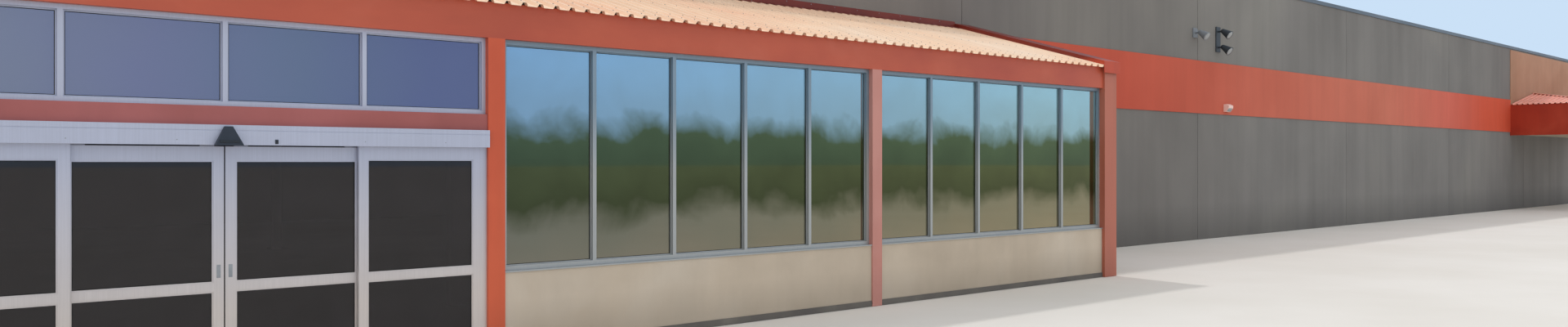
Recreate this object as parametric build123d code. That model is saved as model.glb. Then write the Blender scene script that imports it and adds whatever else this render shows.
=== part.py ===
from build123d import *
import os
from math import atan2, cos, degrees, floor

# A large store's garden centre front with a glazed entrance lobby, as a 1:2 scale model.
# Every size is the model's own, in millimetres: the real building is twice as large.
# X runs along the front, Y runs into the building, Z is up from the ground.
# The origin is on the ground at the middle of the entrance, in the plane of the lobby's glazing.

# Plan of the lobby
window_bay = 3005
window_bays_per_side = 2
door_bay = 2700
lobby_depth = 1750
post_width = 100
post_projection = 12
corner_margin = 175
corner_post_width = 195
corner_post_projection = 30
wall_line_depth = 75

# Heights of the lobby
floor_top = 40
curb_top = 42
curb_projection = 6
sill_height = 452
sill_thickness = 8
sill_projection = 8
eave_height = 1965
eave_beam_depth = 200
roof_head_height = 2485

# Glazing
frame_depth = 49
frame_setback = 26
glass_setback = 25
window_frame_width = 25
bead_width = 6
bead_thickness = 6
panes_per_bay = 5
panes_per_return = 3
glass_thickness = 12

# Entrance
door_panels = 4
door_head_height = 1155
mid_beam_bottom = 1250
mid_beam_top = 1340
mid_beam_recess = 8
jamb_width = 35
stile_width = 45
top_rail_height = 68
bottom_rail_height = 75
mid_rail_height = 42
mid_rail_centre = 480
door_glass_thickness = 6
leaf_thickness = 25
door_frame_thickness = 25
sidelite_setback = 8
moving_clearance = 6
leaf_overlap = 20
threshold_height = 8
threshold_depth = 110
threshold_groove = 3
threshold_grooves = 5
header_front_projection = 34
header_wall = 4
header_slot_depth = 34
header_reveal = 4
header_cover_drop = 24
transom_frame_width = 22

# Door operator
track_thickness = 14
track_height = 22
roller_radius = 18
roller_width = 11
roller_clearance = 0.3
hanger_width = 60
hanger_thickness = 6
hanger_inset = 70

# Motion sensor over the doors
sensor_width = 120
sensor_height = 90
sensor_drop = 5
sensor_depth = 46
sensor_top_width = 34
sensor_top_depth = 20

# Roof structure
rafter_width = 60
rafter_depth = 130
rafter_flange = 8
rafter_web = 6
purlin_depth = 50
purlin_width = 40
purlin_wall = 4
purlin_count = 4
purlin_end_margin = 45

# Ribbed roofing sheet
eave_overhang = 34
end_overhang = 15
sheet_thickness = 3
rib_pitch = 100
rib_height = 20
rib_base_width = 42
rib_top_width = 22
flashing_height = 80
flashing_apron = 70
flashing_thickness = 4
rake_trim_height = 70
rake_trim_upstand = 38
rake_trim_cover = 257
rake_trim_thickness = 5

# Main hall
hall_left_margin = 250
hall_right_end = 31800
hall_depth = 12200
hall_wall = 100
parapet_height = 3670
coping_thickness = 30
coping_overhang = 15
coping_drip = 30
parapet_rise = 310
roof_deck_thickness = 60
band_height = 730
band_drop = 5
band_thickness = 12
portal_width = 3600
portal_height = 1400
front_joint_pitch = 5000
front_joint_offset = 2410
side_joint_pitch = 4000
joint_width = 8
joint_depth = 8
girder_pitch = 4950
girder_depth = 240
girder_width = 110
girder_flange = 16
girder_web = 12
column_width = 90
column_wall = 6
base_plate_width = 170
base_plate_thickness = 12

# Porch at the far end of the front
porch_left = 26400
porch_width = 5000
porch_depth = 1750
porch_fascia_bottom = 1675
porch_fascia_height = 690
porch_fascia_thickness = 60
porch_roof_rise = 330
porch_eave_overhang = 24
porch_post_width = 150
porch_post_inset = 20
porch_soffit_thickness = 20
hip_cap_width = 60
hip_cap_thickness = 4
tan_panel_thickness = 12
tan_panel_drop = 60

# Lamps on the hall's front wall
lamp_pair_x = 12965
lamp_pair_rise = 330
single_lamp_x = 12325
single_lamp_rise = 375
lamp_plate_width = 120
lamp_plate_height = 130
lamp_plate_thickness = 14
lamp_spacing = 225
lamp_arm_length = 70
lamp_arm_radius = 12
lamp_head_length = 115
lamp_head_rear_radius = 34
lamp_head_front_radius = 62
lamp_tilt = 35
band_lamp_x = 13185
band_lamp_rise = 95
band_lamp_width = 130
band_lamp_height = 110
band_lamp_depth = 75

# Lines that the driving sizes give
door_post_x = door_bay / 2
corner_post_x = door_post_x + window_bays_per_side * window_bay
lobby_end = corner_post_x + corner_margin
door_opening = door_bay - post_width
beam_bottom = eave_height - eave_beam_depth
post_front = -post_projection
corner_front = -corner_post_projection
hall_left_end = -lobby_end - hall_left_margin
hall_front = lobby_depth
hall_front_inner = hall_front + hall_wall
hall_back = hall_front + hall_depth
roof_slope = (roof_head_height - eave_height) / (lobby_depth - post_front)
roof_angle = degrees(atan2(roof_head_height - eave_height, lobby_depth - post_front))
roof_run_scale = 1 / cos(atan2(roof_head_height - eave_height, lobby_depth - post_front))
sheet_stack = sheet_thickness + rib_height
roof_deck_top = parapet_height - parapet_rise
band_top = roof_head_height - band_drop
band_bottom = band_top - band_height
lamp_pair_z = band_top + lamp_pair_rise
single_lamp_z = band_top + single_lamp_rise
band_lamp_z = band_bottom + band_lamp_rise
porch_right = porch_left + porch_width
porch_fascia_top = porch_fascia_bottom + porch_fascia_height
porch_back = lobby_depth
porch_front = porch_back - porch_depth


def block(x_range, y_range, z_range):
    """A box between its low and high faces along X, Y and Z."""
    low = (x_range[0], y_range[0], z_range[0])
    size = [high - lowest for lowest, high in (x_range, y_range, z_range)]
    return Pos(*low) * Box(*size, align=(Align.MIN, Align.MIN, Align.MIN))


def side_profile(points, x_low, x_high):
    """A section drawn in Y and Z, extruded along X."""
    outline = make_face(Polyline(*[(0, y, z) for y, z in points], close=True))
    return Pos(x_low, 0, 0) * extrude(outline, amount=x_high - x_low, dir=(1, 0, 0))


def mirrored(solids):
    """The same solids on both sides of the entrance's centre line."""
    return solids + [mirror(solid, about=Plane.YZ) for solid in solids]


def i_beam(depth, width, flange, web):
    """Corners of an upright I-section, centred across and hanging down from 0."""
    outer, inner = width / 2, web / 2
    right = [(outer, 0), (outer, -flange), (inner, -flange)]
    right += [(inner, flange - depth), (outer, flange - depth), (outer, -depth)]
    return right + [(-across, up) for across, up in reversed(right)]


def beam_along_y(corners, x, y_range, top_low, top_high):
    """A beam of constant section that runs along Y and may climb from one end to the other."""
    first = make_face(Polyline(*[(x + a, y_range[0], top_low + u) for a, u in corners], close=True))
    run = Vector(0, y_range[1] - y_range[0], top_high - top_low)
    return extrude(first, amount=run.length, dir=run.normalized())


def roof_underside(y):
    """Height of the roof sheet's underside at a distance behind the glazing."""
    return eave_height + (y - post_front) * roof_slope


def along_roof(y_low, y_high, low, high, x_low, x_high):
    """A bar that climbs with the roof, between two heights over its underside."""
    feet = [(y, roof_underside(y) + low) for y in (y_low, y_high)]
    tops = [(y, roof_underside(y) + high) for y in (y_high, y_low)]
    return side_profile(feet + tops, x_low, x_high)


def post_lines():
    """Centre lines of the posts on the right half of the lobby, without the corner."""
    return [door_post_x + bay * window_bay for bay in range(window_bays_per_side)]


def bay_spans():
    """Clear spans of the window bays on the right half of the lobby."""
    spans = []
    for bay, left_line in enumerate(post_lines()):
        low = left_line + post_width / 2
        last = bay == window_bays_per_side - 1
        high = lobby_end - corner_post_width if last else left_line + window_bay - post_width / 2
        spans.append((low, high))
    return spans


def cut_light(frame, x_range, y_range, z_range, glass):
    """Cuts one light in a frame, leaves glazing beads both sides of the glass, and returns both pieces."""
    sight_x = (x_range[0] + bead_width, x_range[1] - bead_width)
    sight_z = (z_range[0] + bead_width, z_range[1] - bead_width)
    frame -= block(sight_x, y_range, sight_z)
    frame -= block(x_range, (y_range[0], glass[0] - bead_thickness), z_range)
    frame -= block(x_range, glass, z_range)
    frame -= block(x_range, (glass[1] + bead_thickness, y_range[1]), z_range)
    return frame, block(x_range, glass, z_range)


def glazed_frame(x_range, z_range, panes, member):
    """A frame with upright mullions, and the pane that fills each of its lights."""
    pane = (x_range[1] - x_range[0] - (panes + 1) * member) / panes
    y_range = (frame_setback, frame_setback + frame_depth)
    glass = (frame_setback + glass_setback, frame_setback + glass_setback + glass_thickness)
    frame = block(x_range, y_range, z_range)
    sheets = []
    for index in range(panes):
        low = x_range[0] + member + index * (pane + member)
        heights = (z_range[0] + member, z_range[1] - member)
        frame, sheet = cut_light(frame, (low, low + pane), y_range, heights, glass)
        sheets.append(sheet)
    return frame, sheets


def to_return(solid):
    """Turns a piece drawn along the front onto the line of the right end wall."""
    return Pos(lobby_end, 0, 0) * Rot(0, 0, 90) * solid


def ribbed_sheet(width, length):
    """A ribbed sheet, lying flat with its ribs along Y, centred on X, its underside at Z 0."""
    ribs = floor((width - rib_base_width) / rib_pitch) + 1
    first = -(ribs - 1) * rib_pitch / 2
    upper = [(-width / 2, sheet_thickness)]
    for index in range(ribs):
        centre = first + index * rib_pitch
        upper += [
            (centre - rib_base_width / 2, sheet_thickness),
            (centre - rib_top_width / 2, sheet_stack),
            (centre + rib_top_width / 2, sheet_stack),
            (centre + rib_base_width / 2, sheet_thickness),
        ]
    upper.append((width / 2, sheet_thickness))
    lower = [(x, z - sheet_thickness) for x, z in reversed(upper)]
    outline = make_face(Polyline(*[(x, 0, z) for x, z in upper + lower], close=True))
    return extrude(outline, amount=length, dir=(0, 1, 0))


nodes = {}


def lobby_posts():
    centres = post_lines()
    half = post_width / 2
    posts = [block((x - half, x + half), (post_front, wall_line_depth), (0, beam_bottom)) for x in centres]
    inner = lobby_end - corner_post_width
    section = [
        (corner_front, 0),
        (wall_line_depth, 0),
        (wall_line_depth, roof_underside(wall_line_depth)),
        (corner_front, roof_underside(corner_front)),
    ]
    posts.append(side_profile(section, inner, lobby_end))
    nodes["lobby_posts"] = mirrored(posts)


def lobby_beams():
    inner = lobby_end - corner_post_width
    section = [
        (post_front, beam_bottom),
        (wall_line_depth, beam_bottom),
        (wall_line_depth, roof_underside(wall_line_depth)),
        (post_front, eave_height),
    ]
    side = (lobby_end - wall_line_depth, lobby_end)
    end_beam = block(side, (wall_line_depth, hall_front), (beam_bottom, eave_height))
    nodes["lobby_beams"] = [side_profile(section, -inner, inner)] + mirrored([end_beam])
    mid_front = post_front + mid_beam_recess
    half = door_opening / 2
    heights = (mid_beam_bottom, mid_beam_top)
    nodes["door_bay_beam"] = [block((-half, half), (mid_front, wall_line_depth), heights)]


def bulkheads():
    layers = {
        "bulkheads": ((0, wall_line_depth), (curb_top, sill_height)),
        "lobby_curbs": ((-curb_projection, wall_line_depth), (0, curb_top)),
        "window_sills": ((-sill_projection, wall_line_depth), (sill_height, sill_height + sill_thickness)),
    }
    side = (wall_line_depth, hall_front)
    for name, (depth, heights) in layers.items():
        front = [block(span, depth, heights) for span in bay_spans()]
        nodes[name] = mirrored(front + [to_return(block(side, depth, heights))])


def windows():
    heights = (sill_height + sill_thickness, beam_bottom)
    frames = []
    panes = []
    for span in bay_spans():
        frame, sheets = glazed_frame(span, heights, panes_per_bay, window_frame_width)
        frames.append(frame)
        panes += sheets
    side = (wall_line_depth, hall_front)
    frame, sheets = glazed_frame(side, heights, panes_per_return, window_frame_width)
    frames.append(to_return(frame))
    panes += [to_return(sheet) for sheet in sheets]
    nodes["window_frames"] = mirrored(frames)
    nodes["window_glass"] = mirrored(panes)


def transom():
    span = (-door_opening / 2, door_opening / 2)
    heights = (mid_beam_top, beam_bottom)
    frame, sheets = glazed_frame(span, heights, door_panels, transom_frame_width)
    nodes["transom_frame"] = [frame]
    nodes["transom_glass"] = sheets


def door_panel(x_range, z_range, y_front, thickness):
    """A stile-and-rail panel with a rail at mid height, and the two panes that it holds."""
    y_range = (y_front, y_front + thickness)
    glass_front = y_front + (thickness - door_glass_thickness) / 2
    glass = (glass_front, glass_front + door_glass_thickness)
    frame = block(x_range, y_range, z_range)
    across = (x_range[0] + stile_width, x_range[1] - stile_width)
    lower = (z_range[0] + bottom_rail_height, mid_rail_centre - mid_rail_height / 2)
    upper = (mid_rail_centre + mid_rail_height / 2, z_range[1] - top_rail_height)
    sheets = []
    for light in (lower, upper):
        frame, sheet = cut_light(frame, across, y_range, light, glass)
        sheets.append(sheet)
    return frame, sheets


def entrance():
    half = door_opening / 2
    jamb_inner = half - jamb_width
    module = jamb_inner / 2
    sidelite_front = sidelite_setback
    leaf_front = sidelite_front + door_frame_thickness + moving_clearance
    leaf_middle = leaf_front + leaf_thickness / 2
    header_back = wall_line_depth
    header_front = -header_front_projection

    jamb = block((jamb_inner, half), (sidelite_setback, header_back), (floor_top, door_head_height))
    nodes["door_jambs"] = mirrored([jamb])

    sidelite_inner = module - stile_width / 2
    sidelite, sheets = door_panel(
        (sidelite_inner, jamb_inner), (floor_top, door_head_height), sidelite_front, door_frame_thickness
    )
    nodes["sidelite_frames"] = mirrored([sidelite])
    nodes["sidelite_glass"] = mirrored(sheets)

    threshold = block(
        (-sidelite_inner, sidelite_inner),
        (leaf_middle - threshold_depth / 2, leaf_middle + threshold_depth / 2),
        (floor_top, floor_top + threshold_height),
    )
    groove_pitch = threshold_depth / (threshold_grooves + 1)
    for index in range(1, threshold_grooves + 1):
        y = leaf_middle - threshold_depth / 2 + index * groove_pitch
        top = floor_top + threshold_height
        threshold -= block(
            (-sidelite_inner, sidelite_inner),
            (y - threshold_groove / 2, y + threshold_groove / 2),
            (top - threshold_groove, top),
        )
    nodes["door_threshold"] = [threshold]

    leaf_bottom = floor_top + threshold_height + moving_clearance
    leaf_top = door_head_height - moving_clearance
    meeting_gap = moving_clearance / 2
    leaf, leaf_sheets = door_panel(
        (meeting_gap, module + leaf_overlap), (leaf_bottom, leaf_top), leaf_front, leaf_thickness
    )
    track_bottom = door_head_height + track_height
    track_top = track_bottom + track_thickness
    roller_centre = track_top + roller_clearance + roller_radius
    hanger_back = leaf_middle + hanger_thickness / 2
    hangers = []
    for x in (meeting_gap + hanger_inset, module + leaf_overlap - hanger_inset):
        plate = block(
            (x - hanger_width / 2, x + hanger_width / 2),
            (hanger_back - hanger_thickness, hanger_back),
            (leaf_top, roller_centre + roller_radius),
        )
        wheel = Pos(x, hanger_back + roller_width / 2, roller_centre) * Rot(90, 0, 0)
        hangers.append(plate + wheel * Cylinder(roller_radius, roller_width))
    for hanger in hangers:
        leaf += hanger
    nodes["right_leaf_frame"] = [leaf]
    nodes["right_leaf_glass"] = leaf_sheets
    for part_name in ("frame", "glass"):
        right = nodes[f"right_leaf_{part_name}"]
        nodes[f"left_leaf_{part_name}"] = [mirror(solid, about=Plane.YZ) for solid in right]

    shell = block((-half, half), (header_front, header_back), (door_head_height, mid_beam_bottom))
    cavity = block(
        (-half, half),
        (header_front + header_wall, header_back - header_wall),
        (door_head_height + header_wall, mid_beam_bottom - header_wall),
    )
    slot = block(
        (-jamb_inner, jamb_inner),
        (leaf_middle - header_slot_depth / 2, leaf_middle + header_slot_depth / 2),
        (door_head_height, door_head_height + header_wall),
    )
    track_depth = (hanger_back + moving_clearance, header_back - header_wall)
    track = block((-half, half), track_depth, (track_bottom, track_top))
    reveal_top = mid_beam_bottom - header_cover_drop
    reveal_depth = (header_front, header_front + header_wall / 2)
    reveal = block((-half, half), reveal_depth, (reveal_top - header_reveal, reveal_top))
    nodes["door_header"] = [shell - cavity - slot - reveal + track]

    sensor_middle = (door_head_height + mid_beam_bottom) / 2 - sensor_drop
    low = Pos(0, header_front, sensor_middle - sensor_height / 2) * Rectangle(
        sensor_width, sensor_depth, align=(Align.CENTER, Align.MAX)
    )
    high = Pos(0, header_front, sensor_middle + sensor_height / 2) * Rectangle(
        sensor_top_width, sensor_top_depth, align=(Align.CENTER, Align.MAX)
    )
    nodes["door_sensor"] = [loft([low, high])]


def lobby_roof():
    rafter_section = i_beam(rafter_depth, rafter_width, rafter_flange, rafter_web)
    span = (wall_line_depth, hall_front)
    tops = [roof_underside(y) - purlin_depth for y in span]
    nodes["lobby_rafters"] = mirrored([beam_along_y(rafter_section, x, span, *tops) for x in post_lines()])

    purlins = []
    first = wall_line_depth + purlin_end_margin
    last = hall_front - purlin_end_margin - purlin_width
    gable_inner = lobby_end - wall_line_depth
    for index in range(purlin_count):
        y = first + (last - first) * index / (purlin_count - 1)
        back = y + purlin_width
        channel = [
            (y, roof_underside(y)),
            (back, roof_underside(back)),
            (back, roof_underside(back) - purlin_wall),
            (y + purlin_wall, roof_underside(y + purlin_wall) - purlin_wall),
            (y + purlin_wall, roof_underside(y + purlin_wall) - purlin_depth + purlin_wall),
            (back, roof_underside(back) - purlin_depth + purlin_wall),
            (back, roof_underside(back) - purlin_depth),
            (y, roof_underside(y) - purlin_depth),
        ]
        purlins.append(side_profile(channel, -gable_inner, gable_inner))
    nodes["lobby_purlins"] = purlins

    gable = [
        (wall_line_depth, eave_height),
        (hall_front, eave_height),
        (hall_front, roof_head_height),
        (wall_line_depth, roof_underside(wall_line_depth)),
    ]
    nodes["gable_panels"] = mirrored([side_profile(gable, gable_inner, lobby_end)])

    edge = lobby_end + end_overhang
    sheet_front = post_front - eave_overhang
    sheet = ribbed_sheet(2 * edge, (lobby_depth - sheet_front) * roof_run_scale)
    sheet = Pos(0, sheet_front, roof_underside(sheet_front)) * Rot(roof_angle, 0, 0) * sheet
    nodes["lobby_roof"] = [sheet - block((-edge, edge), (hall_front, hall_back), (0, parapet_height))]

    rise = sheet_stack * roof_run_scale
    foot = hall_front - flashing_apron
    flashing = [
        (hall_front, roof_head_height + rise),
        (hall_front, roof_head_height + flashing_height),
        (hall_front - flashing_thickness, roof_head_height + flashing_height),
        (hall_front - flashing_thickness, roof_head_height + rise + flashing_thickness),
        (foot, roof_underside(foot) + rise + flashing_thickness),
        (foot, roof_underside(foot) + rise),
    ]
    flashing_end = edge - rake_trim_cover
    nodes["lobby_roof_flashing"] = [side_profile(flashing, -flashing_end, flashing_end)]

    top = rise + rake_trim_upstand
    inner = edge - rake_trim_cover
    sides = {edge: rise - rake_trim_height, inner: rise}
    rib_front = sheet_front - sheet_stack * roof_slope / roof_run_scale
    trim = along_roof(rib_front, hall_front, top - rake_trim_thickness, top, inner, edge)
    for x, low in sides.items():
        trim += along_roof(rib_front, hall_front, low, top, x, x + rake_trim_thickness)
    cap_front = rib_front - rake_trim_thickness
    trim += along_roof(cap_front, rib_front, sides[edge], top, inner, edge + rake_trim_thickness)
    nodes["lobby_rake_trims"] = mirrored([trim])


def lobby_floor():
    slab = block((-lobby_end, lobby_end), (wall_line_depth, hall_front), (0, floor_top))
    slab -= block((-lobby_end * 2, -lobby_end + wall_line_depth), (0, hall_front), (0, floor_top))
    slab -= block((lobby_end - wall_line_depth, lobby_end * 2), (0, hall_front), (0, floor_top))
    slab += block((-door_opening / 2, door_opening / 2), (post_front, wall_line_depth), (0, floor_top))
    nodes["lobby_floor"] = [slab]


def joint_places(low, high, pitch, offset):
    """Places of the upright joints between cast wall panels, clear of both ends."""
    first = floor((low - offset) / pitch) + 1
    last = floor((high - offset) / pitch)
    places = [offset + index * pitch for index in range(first, last + 1)]
    return [place for place in places if low + joint_width < place < high - joint_width]


def cut_front_joints(wall, x_low, x_high, y_face, inward):
    """Grooves the joints into a wall that runs along X, on the face at y_face."""
    depth = sorted((y_face, y_face + inward * joint_depth))
    for x in joint_places(x_low, x_high, front_joint_pitch, front_joint_offset):
        wall -= block((x - joint_width / 2, x + joint_width / 2), depth, (0, parapet_height))
    return wall


def cut_side_joints(wall, y_low, y_high, x_face, inward):
    """Grooves the joints into a wall that runs along Y, on the face at x_face."""
    depth = sorted((x_face, x_face + inward * joint_depth))
    for y in joint_places(y_low, y_high, side_joint_pitch, hall_front):
        wall -= block(depth, (y - joint_width / 2, y + joint_width / 2), (0, parapet_height))
    return wall


def hall_walls():
    front = (hall_front, hall_front_inner)
    half = portal_width / 2
    left = block((hall_left_end, -half), front, (0, parapet_height))
    right = block((half, hall_right_end), front, (0, parapet_height))
    over = block((-half, half), front, (portal_height, parapet_height))
    nodes["hall_front_wall_left"] = [cut_front_joints(left, hall_left_end, -half, hall_front, 1)]
    nodes["hall_front_wall_right"] = [cut_front_joints(right, half, hall_right_end, hall_front, 1)]
    nodes["hall_front_wall_over_portal"] = [over]
    back = block((hall_left_end, hall_right_end), (hall_back - hall_wall, hall_back), (0, parapet_height))
    nodes["hall_back_wall"] = [cut_front_joints(back, hall_left_end, hall_right_end, hall_back, -1)]
    sides = (hall_front_inner, hall_back - hall_wall)
    left_side = block((hall_left_end, hall_left_end + hall_wall), sides, (0, parapet_height))
    right_side = block((hall_right_end - hall_wall, hall_right_end), sides, (0, parapet_height))
    nodes["hall_left_wall"] = [cut_side_joints(left_side, *sides, hall_left_end, 1)]
    nodes["hall_right_wall"] = [cut_side_joints(right_side, *sides, hall_right_end, -1)]


def hall_column(x, y, foot, head):
    """A square tube on a base plate, under a plate of the same size."""
    half = column_width / 2
    clear = half - column_wall
    plate = base_plate_width / 2
    column = block((x - half, x + half), (y - half, y + half), (foot, head))
    column -= block((x - clear, x + clear), (y - clear, y + clear), (foot, head))
    column += block((x - plate, x + plate), (y - plate, y + plate), (foot, foot + base_plate_thickness))
    column += block((x - plate, x + plate), (y - plate, y + plate), (head - base_plate_thickness, head))
    return column


def hall_floor_and_roof():
    inner_x = (hall_left_end + hall_wall, hall_right_end - hall_wall)
    inner_y = (hall_front_inner, hall_back - hall_wall)
    slab = block(inner_x, inner_y, (0, floor_top))
    slab += block((-portal_width / 2, portal_width / 2), (hall_front, hall_front_inner), (0, floor_top))
    nodes["hall_floor"] = [slab]
    deck_bottom = roof_deck_top - roof_deck_thickness
    nodes["hall_roof_deck"] = [block(inner_x, inner_y, (deck_bottom, roof_deck_top))]
    girder_section = i_beam(girder_depth, girder_width, girder_flange, girder_web)
    girders = []
    columns = []
    middle = (inner_y[0] + inner_y[1]) / 2
    girder_count = floor((inner_x[1] - inner_x[0] - girder_width) / girder_pitch)
    for index in range(1, girder_count + 1):
        x = hall_left_end + index * girder_pitch
        girders.append(beam_along_y(girder_section, x, inner_y, deck_bottom, deck_bottom))
        columns.append(hall_column(x, middle, floor_top, deck_bottom - girder_depth))
    nodes["hall_roof_girders"] = girders
    nodes["hall_columns"] = columns


def parapet_coping():
    out = coping_overhang
    top = parapet_height + coping_thickness
    foot = parapet_height - coping_drip
    inside = hall_wall + out
    outside_x = (hall_left_end - out, hall_right_end + out)
    ring = block(outside_x, (hall_front - out, hall_back + out), (foot, top))
    ring -= block((hall_left_end, hall_right_end), (hall_front, hall_back), (foot, parapet_height))
    ring -= block(
        (hall_left_end + inside, hall_right_end - inside),
        (hall_front + inside, hall_back - inside),
        (parapet_height, top),
    )
    nodes["parapet_coping"] = [ring]


def front_band():
    face = (hall_front - band_thickness, hall_front)
    heights = (band_bottom, band_top)
    edge = lobby_end + end_overhang + rake_trim_thickness
    spans = [(hall_left_end, -edge), (edge, porch_left), (porch_right, hall_right_end)]
    nodes["front_band"] = [block(span, face, heights) for span in spans]


def plan_prism(points):
    """An upright prism over an outline in plan, as high as the parapet."""
    return extrude(make_face(Polyline(*points, close=True)), amount=parapet_height, dir=(0, 0, 1))


def porch():
    span = (porch_left, porch_right)
    inside = (porch_left + porch_fascia_thickness, porch_right - porch_fascia_thickness)
    inside_depth = (porch_front + porch_fascia_thickness, porch_back)
    heights = (porch_fascia_bottom, porch_fascia_top)
    fascia = block(span, (porch_front, porch_back), heights) - block(inside, inside_depth, heights)
    nodes["porch_fascia"] = [fascia]
    soffit_bottom = porch_fascia_bottom + porch_soffit_thickness
    soffit_heights = (soffit_bottom, soffit_bottom + porch_soffit_thickness)
    nodes["porch_soffit"] = [block(inside, inside_depth, soffit_heights)]
    post_y = (porch_front + porch_post_inset, porch_front + porch_post_inset + porch_post_width)
    lefts = (porch_left + porch_post_inset, porch_right - porch_post_inset - porch_post_width)
    posts = [block((x, x + porch_post_width), post_y, (0, soffit_bottom)) for x in lefts]
    nodes["porch_posts"] = [post - fascia for post in posts]
    tan_face = porch_back - tan_panel_thickness
    tan_heights = (porch_fascia_top, parapet_height - tan_panel_drop)
    nodes["porch_wall_panel"] = [block(span, (tan_face, porch_back), tan_heights)]

    low_x, high_x = porch_left - porch_eave_overhang, porch_right + porch_eave_overhang
    low_y = porch_front - porch_eave_overhang
    run = tan_face - low_y
    length = (run**2 + porch_roof_rise**2) ** 0.5
    eave = porch_fascia_top - porch_eave_overhang * porch_roof_rise / run
    tilt = Rot(degrees(atan2(porch_roof_rise, run)), 0, 0)
    middle_x, middle_y = (low_x + high_x) / 2, low_y + run / 2
    corners = {"left": (low_x, 1), "right": (high_x, -1)}
    ridge = [(x + way * run, tan_face) for x, way in corners.values()]
    places = {
        "front": (Pos(middle_x, low_y, eave) * tilt, high_x - low_x),
        "left": (Pos(low_x, middle_y, eave) * Rot(0, 0, -90) * tilt, run),
        "right": (Pos(high_x, middle_y, eave) * Rot(0, 0, 90) * tilt, run),
    }
    plans = {"front": [(low_x, low_y), (high_x, low_y), ridge[1], ridge[0]]}
    for side, (x, way) in corners.items():
        plans[side] = [(x, low_y), (x + way * run, tan_face), (x, tan_face)]
    roof = None
    for side, (place, width) in places.items():
        sheet = place * ribbed_sheet(width, length) & plan_prism(plans[side])
        roof = sheet if roof is None else roof + sheet
    for side, (x, way) in corners.items():
        end_x = x + way * run
        strips = {
            "front": [(x, low_y), (x + way * hip_cap_width, low_y), (end_x, tan_face - hip_cap_width)],
            side: [(x, low_y), (x, low_y + hip_cap_width), (end_x - way * hip_cap_width, tan_face)],
        }
        for slope_name, strip in strips.items():
            place, width = places[slope_name]
            flat = Box(width, length, hip_cap_thickness, align=(Align.CENTER, Align.MIN, Align.MIN))
            roof += place * Pos(0, 0, sheet_stack) * flat & plan_prism(strip + [(end_x, tan_face)])
    nodes["porch_roof"] = [roof]


def lamp_head(x, z):
    """A bell-shaped lamp on an arm that stands out from the wall's mounting plate."""
    root = hall_front - lamp_plate_thickness
    arm = Pos(x, root - lamp_arm_length / 2, z) * Rot(90, 0, 0) * Cylinder(lamp_arm_radius, lamp_arm_length)
    bell = Cone(
        lamp_head_rear_radius,
        lamp_head_front_radius,
        lamp_head_length,
        align=(Align.CENTER, Align.CENTER, Align.MIN),
    )
    knuckle = Sphere(lamp_head_rear_radius)
    aim = Pos(x, root - lamp_arm_length, z) * Rot(90 + lamp_tilt, 0, 0)
    return arm + aim * knuckle + aim * bell


def wall_lamps():
    plate_y = (hall_front - lamp_plate_thickness, hall_front)
    lamps = []
    half_width = lamp_plate_width / 2
    for x, z, heads in ((lamp_pair_x, lamp_pair_z, 2), (single_lamp_x, single_lamp_z, 1)):
        half_height = lamp_plate_height / 2 + (heads - 1) * lamp_spacing / 2
        lamp = block((x - half_width, x + half_width), plate_y, (z - half_height, z + half_height))
        for index in range(heads):
            lamp += lamp_head(x, z + (index - (heads - 1) / 2) * lamp_spacing)
        lamps.append(lamp)
    nodes["wall_lamps"] = lamps

    face = hall_front - band_thickness
    foot = band_lamp_z - band_lamp_height / 2
    head = band_lamp_z + band_lamp_height / 2
    lamp_front = face - band_lamp_depth
    section = [
        (face, foot),
        (face - band_lamp_depth / 2, foot),
        (lamp_front, band_lamp_z),
        (lamp_front, head - band_lamp_height / 5),
        (face - band_lamp_depth / 2, head),
        (face, head),
    ]
    left, right = band_lamp_x - band_lamp_width / 2, band_lamp_x + band_lamp_width / 2
    nodes["band_lamp"] = [side_profile(section, left, right)]


for make in (
    lobby_posts, lobby_beams, bulkheads, windows, transom, entrance, lobby_roof, lobby_floor,
    hall_walls, hall_floor_and_roof, parapet_coping, front_band, porch, wall_lamps,
):
    make()

os.makedirs("parts", exist_ok=True)
for name, solids in nodes.items():
    shape = solids[0] if len(solids) == 1 else Compound(solids)
    export_step(shape, f"parts/{name}.step")
print(len(nodes), "nodes written")
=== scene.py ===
import bpy
import bmesh
import math
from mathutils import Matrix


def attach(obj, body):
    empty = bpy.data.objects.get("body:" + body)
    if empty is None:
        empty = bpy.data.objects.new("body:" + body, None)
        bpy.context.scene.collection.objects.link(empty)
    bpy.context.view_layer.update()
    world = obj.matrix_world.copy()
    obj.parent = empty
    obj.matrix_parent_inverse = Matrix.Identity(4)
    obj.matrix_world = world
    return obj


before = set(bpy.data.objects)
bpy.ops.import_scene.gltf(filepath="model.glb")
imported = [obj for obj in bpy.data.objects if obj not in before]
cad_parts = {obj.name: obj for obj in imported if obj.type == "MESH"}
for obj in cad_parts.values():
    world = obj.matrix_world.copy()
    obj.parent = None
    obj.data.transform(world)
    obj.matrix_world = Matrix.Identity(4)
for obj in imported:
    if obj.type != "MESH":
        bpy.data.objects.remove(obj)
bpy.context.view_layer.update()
mm = 0.001
quarterTurn = math.radians(90)


# Small helpers that the pieces share

def hexToLinear(code):  # a colour as it is picked on screen, turned to the linear one that shaders want
    channels = [int(code[at:at + 2], 16) / 255 for at in (1, 3, 5)]
    return [c / 12.92 if c <= 0.04045 else ((c + 0.055) / 1.055) ** 2.4 for c in channels] + [1.0]


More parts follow.
